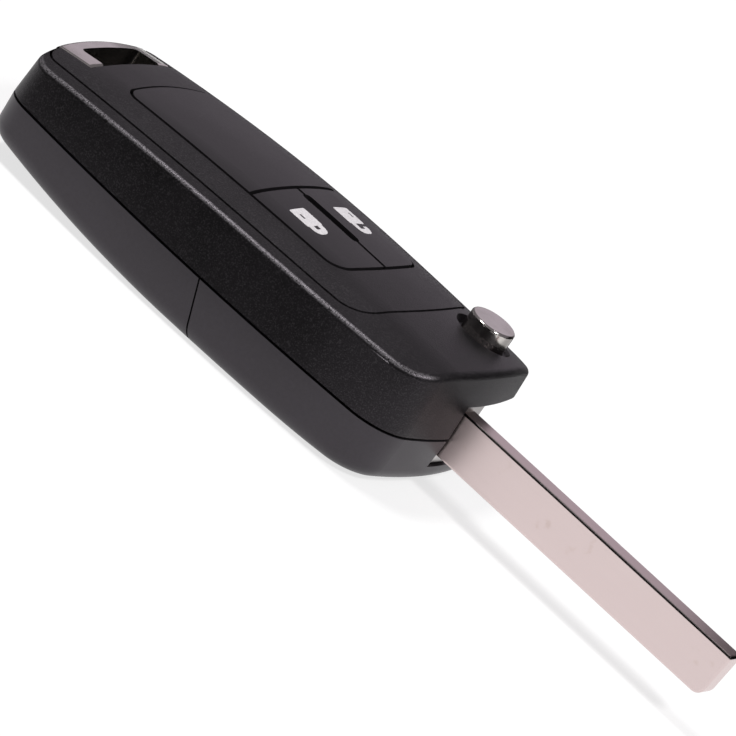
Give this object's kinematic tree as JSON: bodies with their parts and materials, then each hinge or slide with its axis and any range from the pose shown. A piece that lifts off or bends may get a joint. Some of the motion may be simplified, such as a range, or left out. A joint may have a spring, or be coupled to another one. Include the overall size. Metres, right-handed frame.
{
  "type": "flip key remote shell",
  "caption": "Car remote key in a closed dark plastic case, with padlock buttons, a blade that folds out of its side on a sprung hub, a bright release button and a key-ring loop.",
  "frame": {"origin": "on the surface that the key lies on, under the middle of its length with the blade open", "axes": "+X towards the blade's tip, +Y towards the side that the blade folds into, +Z towards the buttons"},
  "size_m": [0.1174, 0.0372, 0.02],
  "materials": {
    "shell_black": "fine grained satin",
    "shell_grey": "smooth satin",
    "panel_black": "soft satin",
    "pad_black": "fine grained, printed padlock signs on the buttons",
    "chrome": "bright",
    "blade_nickel": "satin, nickel plated",
    "hub_steel": "satin",
    "spring_steel": "bright drawn wire",
    "rubber_grey": "matt",
    "board_green": "solder mask",
    "chip_black": "moulded",
    "tray_black": "moulded",
    "cell_steel": "brushed",
    "contact_nickel": "bright sheet",
    "screw_steel": "satin"
  },
  "bodies": {
    "case": {"front_shell": "shell_black", "back_shell": "shell_grey", "face_panel": "panel_black", "blank_pad": "pad_black", "key_loop": "chrome", "flip_spring": "spring_steel", "keypad_membrane": "rubber_grey", "circuit_board": "board_green", "lock_switch": "chip_black", "unlock_switch": "chip_black", "radio_chip": "chip_black", "board_tray": "tray_black", "coin_cell": "cell_steel", "cell_clip": "contact_nickel", "cell_contact": "contact_nickel", "transponder": "chip_black", "case_screws": "screw_steel"},
    "flip_head": {"blade_hub": "hub_steel", "key_blade": "blade_nickel", "blade_pin": "spring_steel"},
    "release": {"release_button": "chrome"},
    "lock": {"lock_button": "pad_black"},
    "unlock": {"unlock_button": "pad_black"},
    "cover": {"battery_cover": "shell_grey"}
  },
  "joints": [
    {"name": "blade_flip", "type": "hinge", "parent": "case", "child": "flip_head", "pos_m": [0.00465, 0.00785, 0.0084], "axis": [0, 0, 1], "range_deg": [0, 180], "stiffness_Nm_per_rad": 0.003, "springref_deg": -91.67},
    {"name": "release_press", "type": "slide", "parent": "flip_head", "child": "release", "axis": [0, 0, -1], "range_m": [0, 0.002], "stiffness_N_per_m": 300, "springref_m": -0.001, "deforming": ["flip_spring"]},
    {"name": "lock_press", "type": "slide", "parent": "case", "child": "lock", "axis": [0, 0, -1], "range_m": [0, 0.0004], "stiffness_N_per_m": 1500, "springref_m": -0.0001},
    {"name": "unlock_press", "type": "slide", "parent": "case", "child": "unlock", "axis": [0, 0, -1], "range_m": [0, 0.0004], "stiffness_N_per_m": 1500, "springref_m": -0.0001},
    {"name": "cover_lift", "type": "slide", "parent": "case", "child": "cover", "axis": [0, 0, -1], "range_m": [0, 0.012]}
  ]
}
